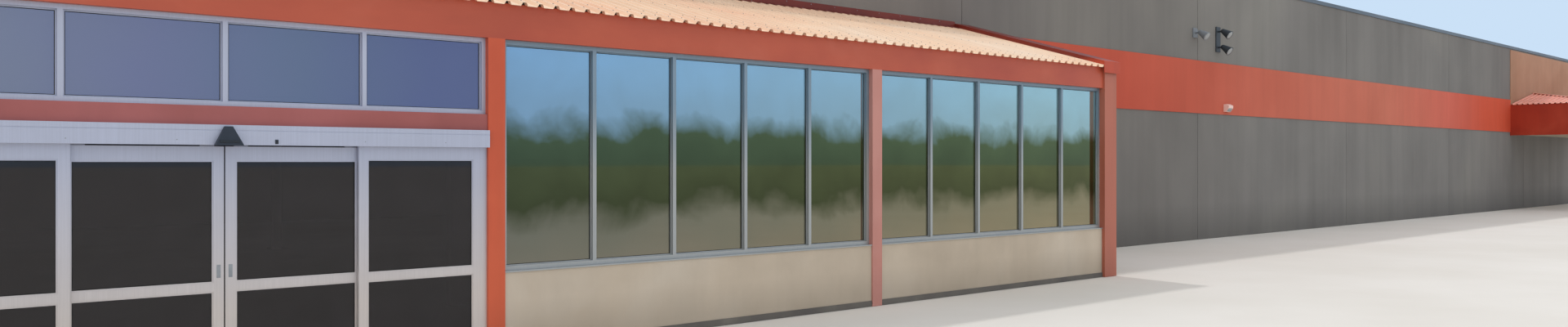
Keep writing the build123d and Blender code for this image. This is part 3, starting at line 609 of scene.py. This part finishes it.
windowSettings = {
    "glassFaces": (51 * mm, 63 * mm), "lobbyEndX": 7535 * mm,
    "innerBay": {"ends": (1400 * mm, 4305 * mm), "heights": (460 * mm, 1765 * mm),
                 "panes": 5, "member": 25 * mm},
    "outerBay": {"ends": (4405 * mm, 7340 * mm), "heights": (460 * mm, 1765 * mm),
                 "panes": 5, "member": 25 * mm},
    "transom": {"ends": (-1300 * mm, 1300 * mm), "heights": (1340 * mm, 1765 * mm),
                "panes": 4, "member": 22 * mm},
    "lobbyEnd": {"ends": (75 * mm, 1750 * mm), "heights": (460 * mm, 1765 * mm),
                 "panes": 3, "member": 25 * mm}}


def makeGasketRun(run):  # the rings of all the panes between two posts
    member, sight = run["member"], gasketSettings["sight"]
    low, high = run["ends"]
    pane = (high - low - (run["panes"] + 1) * member) / run["panes"]
    bottom, top = run["heights"][0] + member, run["heights"][1] - member
    ring = makeGasketRing(pane - 2 * sight, top - bottom - 2 * sight, windowSettings["glassFaces"])
    repeatPiece(ring, run["panes"], (pane + member, 0, 0))
    ring.location = (low + member + pane / 2, 0, (bottom + top) / 2)
    return ring


def makeWindowGaskets():
    runs = []
    for name in ("innerBay", "outerBay"):
        right = makeGasketRun(windowSettings[name])
        runs += [right, copyPiece(right, (-sum(windowSettings[name]["ends"]), 0, 0))]
    runs.append(makeGasketRun(windowSettings["transom"]))
    right = makeGasketRun(windowSettings["lobbyEnd"])
    left = copyPiece(right, (-sum(windowSettings["lobbyEnd"]["ends"]), 0, 0))
    for run, side in ((right, 1), (left, -1)):
        place = (side * windowSettings["lobbyEndX"], 0, 0)
        runs.append(placePiece(run, place, (0, 0, side * quarterTurn)))
    finishPiece(joinPieces(runs), "windowGaskets", "epdmRubber", "building")


makeWindowGaskets()
print("window gaskets are in")


# Sliding door hardware

doorSettings = {
    "leafSpan": (3 * mm, 652.5 * mm), "leafFaces": (39 * mm, 64 * mm),
    "leafHeights": (54 * mm, 1149 * mm),
    "leaf": {"glass": (48 * mm, 607.5 * mm), "faces": (48.5 * mm, 54.5 * mm),
             "lights": ((129 * mm, 459 * mm), (501 * mm, 1081 * mm))},
    "sidelite": {"glass": (655 * mm, 1220 * mm), "faces": (17.5 * mm, 23.5 * mm),
                 "lights": ((115 * mm, 459 * mm), (501 * mm, 1087 * mm))}}


def makeDoorGaskets(side, panel):
    sight = gasketSettings["sight"]
    rings = []
    low, high = panel["glass"]
    for bottom, top in panel["lights"]:
        ring = makeGasketRing(high - low - 2 * sight, top - bottom - 2 * sight, panel["faces"])
        ring.location = (side * (low + high) / 2, 0, (bottom + top) / 2)
        rings.append(ring)
    return rings


sealSettings = {"bulbRadius": 2.2 * mm, "bulbStretch": 1.6, "endGap": 3 * mm,
                "foot": (-0.7 * mm, 1 * mm), "footHalf": 6 * mm, "footEdge": 0.3 * mm}


def makeMeetingSeal(side):  # a rubber bulb on its foot, down the leaf's meeting stile
    bottom = doorSettings["leafHeights"][0] + sealSettings["endGap"]
    top = doorSettings["leafHeights"][1] - sealSettings["endGap"]
    edge = doorSettings["leafSpan"][0]
    middle = sum(doorSettings["leafFaces"]) / 2
    startPiece()
    bpy.ops.mesh.primitive_cylinder_add(vertices=14, radius=sealSettings["bulbRadius"],
                                        depth=top - bottom,
                                        location=(side * edge, middle, (bottom + top) / 2))
    bulb = bpy.context.object
    bulb.scale.y = sealSettings["bulbStretch"]
    low, high = [edge + face for face in sealSettings["foot"]]
    half = sealSettings["footHalf"]
    foot = barPiece((low, middle - half, bottom), (high, middle + half, top), sealSettings["footEdge"])
    foot.location.x *= side
    return joinPieces([foot, bulb])


brushSettings = {"tuft": (3 * mm, 4 * mm, 4 * mm), "flare": (1.3, 1.2, 1), "gap": 1.5 * mm,
                 "first": 8 * mm, "ends": 12 * mm}


def makeBottomBrush(side):  # tufts that flare towards the floor, in a row under the leaf
    low, high = doorSettings["leafSpan"]
    width, depth, height = brushSettings["tuft"]
    tuft = barPiece((-width / 2, -depth / 2, -height), (width / 2, depth / 2, 0))
    editFaces(tuft, (0, 0, -1))
    bpy.ops.transform.resize(value=brushSettings["flare"], center_override=(0, 0, 0))
    bpy.ops.object.mode_set(mode="OBJECT")
    step = width + brushSettings["gap"]
    repeatPiece(tuft, int((high - low - brushSettings["ends"]) / step), (side * step, 0, 0))
    middle = sum(doorSettings["leafFaces"]) / 2
    tuft.location = (side * (low + brushSettings["first"]), middle, doorSettings["leafHeights"][0])
    return tuft


lockSettings = {"centre": (25.5 * mm, 555 * mm), "plate": (17 * mm, 62 * mm), "proud": 0.9 * mm,
                "edge": 0.4 * mm, "barrel": (5 * mm, 0.45 * mm), "barrelSunk": 0.3 * mm,
                "turn": (3.2 * mm, 16 * mm), "turnProud": 6 * mm, "turnEdge": 1.4 * mm}


def makeLock(side):  # a thin outer plate with its key barrel's rim, and a thumb-turn on a plate inside
    x, z = centre = lockSettings["centre"]
    front, back = doorSettings["leafFaces"]
    proud, edge = lockSettings["proud"], lockSettings["edge"]
    outer = platePiece(centre, lockSettings["plate"], (front - proud, front), edge)
    inner = platePiece(centre, lockSettings["plate"], (back, back + proud), edge)
    startPiece()
    radius, rim = lockSettings["barrel"]
    bpy.ops.mesh.primitive_torus_add(major_radius=radius, minor_radius=rim, major_segments=24,
                                     minor_segments=6, rotation=(quarterTurn, 0, 0),
                                     location=(x, front - proud + lockSettings["barrelSunk"], z))
    barrel = bpy.context.object
    turn = platePiece(centre, lockSettings["turn"], (back, back + lockSettings["turnProud"]),
                      lockSettings["turnEdge"])
    pieces = [outer, inner, barrel, turn]
    for piece in pieces:
        piece.location.x *= side
    return joinPieces(pieces)


def makeLeafHardware():
    for side, body in ((1, "right_leaf"), (-1, "left_leaf")):
        name = body.split("_")[0] + "Leaf"
        rubber = makeDoorGaskets(side, doorSettings["leaf"]) + [makeMeetingSeal(side)]
        finishPiece(joinPieces(rubber), name + "Seals", "epdmRubber", body)
        finishPiece(makeBottomBrush(side), name + "Brush", "epdmRubber", body)
        finishPiece(makeLock(side), name + "Lock", "platedSteel", body)
    fixed = makeDoorGaskets(1, doorSettings["sidelite"]) + makeDoorGaskets(-1, doorSettings["sidelite"])
    finishPiece(joinPieces(fixed), "sideliteGaskets", "epdmRubber", "building")


makeLeafHardware()
print("door hardware is on")


# Header, key switch and sensor

headerSettings = {"front": -34 * mm, "screwHeight": 1178 * mm, "screwPitch": 420 * mm, "screws": 6,
                  "screwRadius": 2.6 * mm, "screwFlatness": 0.45}


def makeCoverScrews():  # small pan-head screws that hold the header's cover
    startPiece()
    bpy.ops.mesh.primitive_uv_sphere_add(segments=12, ring_count=6,
                                         radius=headerSettings["screwRadius"])
    head = bpy.context.object
    head.scale.z = headerSettings["screwFlatness"]
    placePiece(head, (0, 0, 0), (quarterTurn, 0, 0))
    pitch, count = headerSettings["screwPitch"], headerSettings["screws"]
    repeatPiece(head, count, (pitch, 0, 0))
    head.location = (-(count - 1) / 2 * pitch, headerSettings["front"], headerSettings["screwHeight"])
    finishPiece(head, "headerScrews", "platedSteel", "building", smooth=40)


switchSettings = {"centre": (212 * mm, 1172 * mm), "plate": (15 * mm, 21 * mm), "proud": 3 * mm,
                  "edge": 1 * mm, "barrel": (4 * mm, 2 * mm),  # radius and length
                  "keyway": (1.2 * mm, 0.8 * mm)}  # rim round it and depth


def makeKeySwitch():
    x, z = switchSettings["centre"]
    front = headerSettings["front"]
    face = front - switchSettings["proud"]
    plate = platePiece((x, z), switchSettings["plate"], (face, front), switchSettings["edge"])
    startPiece()
    radius, length = switchSettings["barrel"]
    bpy.ops.mesh.primitive_cylinder_add(vertices=20, radius=radius, depth=length, location=(x, face, z),
                                        rotation=(quarterTurn, 0, 0))
    barrel = bpy.context.object
    rim, depth = switchSettings["keyway"]
    editFaces(barrel, (0, 0, 1))
    bpy.ops.mesh.inset(thickness=rim)
    bpy.ops.transform.translate(value=(0, depth, 0))
    bpy.ops.object.mode_set(mode="OBJECT")
    switch = joinPieces([plate, barrel])
    finishPiece(switch, "keySwitch", "mouldedBlackAbs", "building", smooth=30)


sensorSettings = {"centre": (0, -74.6 * mm, 1171 * mm), "slant": math.atan2(26, 90),
                  "lens": (84 * mm, 4 * mm, 15 * mm), "edge": 1.6 * mm,
                  "eyes": (-24 * mm, 24 * mm), "eyeRadius": 5 * mm, "eyeBulge": 0.35}


def makeSensorLens():  # a smoked window with two low domes, lying on the sensor's slanted face
    half = [extent / 2 for extent in sensorSettings["lens"]]
    lens = barPiece([-extent for extent in half], half, sensorSettings["edge"])
    startPiece()
    bpy.ops.mesh.primitive_uv_sphere_add(segments=16, ring_count=8, radius=sensorSettings["eyeRadius"])
    eye = bpy.context.object
    eye.scale.y = sensorSettings["eyeBulge"]
    eyes = spreadPiece(eye, [((x, -half[1], 0), (0, 0, 0)) for x in sensorSettings["eyes"]])
    piece = joinPieces([lens] + eyes)
    placePiece(piece, sensorSettings["centre"], (-sensorSettings["slant"], 0, 0))
    finishPiece(piece, "sensorLens", "smokedAcrylic", "building", smooth=40)


makeCoverScrews()
makeKeySwitch()
makeSensorLens()
print("header fittings are on")


# Wall joints, lamps and the hall's roof covering

sealantSettings = {  # each wall has its face, the way in from it, and quarter turns for the bead
    "long": {"first": -7590 * mm, "pitch": 5000 * mm, "count": 8,
             "walls": ((1750 * mm, 1, 0), (13950 * mm, -1, 2))},
    "side": {"first": 5750 * mm, "pitch": 4000 * mm, "count": 3,
             "walls": ((-7785 * mm, 1, -1), (31800 * mm, -1, 1))},
    "groove": 8 * mm, "bead": (8 * mm, 3.5 * mm, 3640 * mm), "rim": 1.6 * mm, "hollow": 1.2 * mm}


def makeSealantBead():  # tooled hollow by a thumb: its face dips between the two panel edges
    width, depth, height = sealantSettings["bead"]
    piece = barPiece((-width / 2, 0, 0), (width / 2, depth, height))
    editFaces(piece, (0, -1, 0))
    bpy.ops.mesh.inset(thickness=sealantSettings["rim"])
    bpy.ops.transform.translate(value=(0, sealantSettings["hollow"], 0))
    return placePiece(piece, (0, 0, 0))


def makeWallSealant():  # one bead in each joint between two cast panels
    sunk = sealantSettings["groove"] - sealantSettings["bead"][1]
    spots = []
    for walls in ("long", "side"):
        joints = sealantSettings[walls]
        for face, way, turns in joints["walls"]:
            for index in range(joints["count"]):
                along, across = joints["first"] + index * joints["pitch"], face + way * sunk
                place = (along, across, 0) if walls == "long" else (across, along, 0)
                spots.append((place, (0, 0, turns * quarterTurn)))
    beads = spreadPiece(makeSealantBead(), spots)
    finishPiece(joinPieces(beads), "wallJointSealant", "jointSealant", "building")


lampSettings = {
    "heads": ((12965 * mm, 2922.5 * mm), (12965 * mm, 2697.5 * mm), (12325 * mm, 2855 * mm)),
    "knuckleY": 1666 * mm, "length": 115 * mm, "radius": 62 * mm, "tilt": math.radians(35),
    "lensInset": 6 * mm, "lensBulge": 0.18, "rimInset": 2.5 * mm, "rimRadius": 4 * mm,
    "boltInset": 3 * mm, "boltRise": 3 * mm, "bolts": 4,
    "plateFace": 1736 * mm,  # each plate has its middle in X and Z, and its screws' distance from that
    "plates": ((12965 * mm, 2810 * mm, 46 * mm, 164 * mm), (12325 * mm, 2855 * mm, 46 * mm, 52 * mm))}


def makeLampLens():  # a shallow dome that faces along +Z at the head's mouth
    startPiece()
    radius = lampSettings["radius"] - lampSettings["lensInset"]
    bpy.ops.mesh.primitive_uv_sphere_add(segments=28, ring_count=14, radius=radius)
    dome = bpy.context.object
    dome.scale.z = lampSettings["lensBulge"]
    return placePiece(dome, (0, 0, 0))


def makeLampRim():  # the rolled rim that clamps the lens, with its bolts
    startPiece()
    bpy.ops.mesh.primitive_torus_add(major_radius=lampSettings["radius"] - lampSettings["rimInset"],
                                     minor_radius=lampSettings["rimRadius"],
                                     major_segments=36, minor_segments=10)
    rim = bpy.context.object
    radius = lampSettings["radius"] - lampSettings["boltInset"]
    count = lampSettings["bolts"]
    turns = [(index + 0.5) * 2 * math.pi / count for index in range(count)]
    spots = [((math.cos(turn) * radius, math.sin(turn) * radius, lampSettings["boltRise"]), (0, 0, 0))
             for turn in turns]
    return placePiece(joinPieces([rim] + spreadPiece(makeScrew(), spots)), (0, 0, 0))


def makeWallLampParts():  # lenses and rims at the heads' mouths, screws at the plates' corners
    tilt, reach = quarterTurn + lampSettings["tilt"], lampSettings["length"]
    y = lampSettings["knuckleY"] - math.sin(tilt) * reach
    mouths = [((x, y, z + math.cos(tilt) * reach), (tilt, 0, 0)) for x, z in lampSettings["heads"]]
    corners = [((x + signX * across, lampSettings["plateFace"], z + signZ * up), (quarterTurn, 0, 0))
               for x, z, across, up in lampSettings["plates"] for signX in (-1, 1) for signZ in (-1, 1)]
    lenses = spreadPiece(makeLampLens(), mouths)
    rims = spreadPiece(makeLampRim(), mouths) + spreadPiece(makeScrew(), corners)
    glass, metal = joinPieces(lenses), joinPieces(rims)
    finishPiece(glass, "lampLenses", "prismaticLampGlass", "building", smooth=40)
    finishPiece(metal, "lampRims", "castLampMetal", "building", smooth=40)


bandLampSettings = {"centre": (13185 * mm, 1681.7 * mm, 1817.5 * mm), "tilt": math.atan2(55, 37.5),
                    "lens": (112 * mm, 5 * mm, 54 * mm), "edge": 2 * mm}


def makeBandLampLens():
    half = [extent / 2 for extent in bandLampSettings["lens"]]
    lens = barPiece([-extent for extent in half], half, bandLampSettings["edge"])
    placePiece(lens, bandLampSettings["centre"], (quarterTurn - bandLampSettings["tilt"], 0, 0))
    finishPiece(lens, "bandLampLens", "prismaticLampGlass", "building", smooth=40)


deckSettings = {"x": (-7685 * mm, 31700 * mm), "y": (1850 * mm, 13850 * mm), "top": 3360 * mm}
seamSettings = {"lap": (40 * mm, 1.6 * mm), "edge": 0.7 * mm, "pitch": 1000 * mm}


def makeMembraneSeams():  # welded laps between the membrane's rolls
    (left, right), (front, back) = deckSettings["x"], deckSettings["y"]
    width, height = seamSettings["lap"]
    top, pitch = deckSettings["top"], seamSettings["pitch"]
    count = int((right - left) / pitch)
    seam = barPiece((-width / 2, front, top), (width / 2, back, top + height), seamSettings["edge"])
    repeatPiece(seam, count, (pitch, 0, 0))
    seam.location.x = (left + right - (count - 1) * pitch) / 2
    finishPiece(seam, "membraneSeams", "roofMembrane", "building")


cantSettings = {"width": 55 * mm, "foot": 0.5 * mm, "thickness": 1.5 * mm}


def makeCantFillets():  # fillets that carry the membrane up the parapet, as high as they are wide
    (left, right), (front, back) = deckSettings["x"], deckSettings["y"]
    width = cantSettings["width"]
    startPiece()
    bpy.ops.mesh.primitive_plane_add(size=1, location=((left + right) / 2, (front + back) / 2,
                                                       deckSettings["top"] + width))
    fillet = bpy.context.object
    fillet.scale = (right - left, back - front, 1)
    bpy.ops.object.transform_apply(location=False, rotation=False, scale=True)
    bpy.ops.object.mode_set(mode="EDIT")
    bpy.ops.mesh.select_all(action="SELECT")
    bpy.ops.mesh.inset(thickness=width)
    bpy.ops.transform.translate(value=(0, 0, cantSettings["foot"] - width))
    bpy.ops.mesh.delete(type="FACE")
    bpy.ops.object.mode_set(mode="OBJECT")
    applyModifier(fillet, "SOLIDIFY", thickness=cantSettings["thickness"], offset=-1)
    finishPiece(fillet, "cantFillets", "roofMembrane", "building")


makeWallSealant()
makeWallLampParts()
makeBandLampLens()
makeMembraneSeams()
makeCantFillets()
print("wall joints, lamps and roof covering are done")
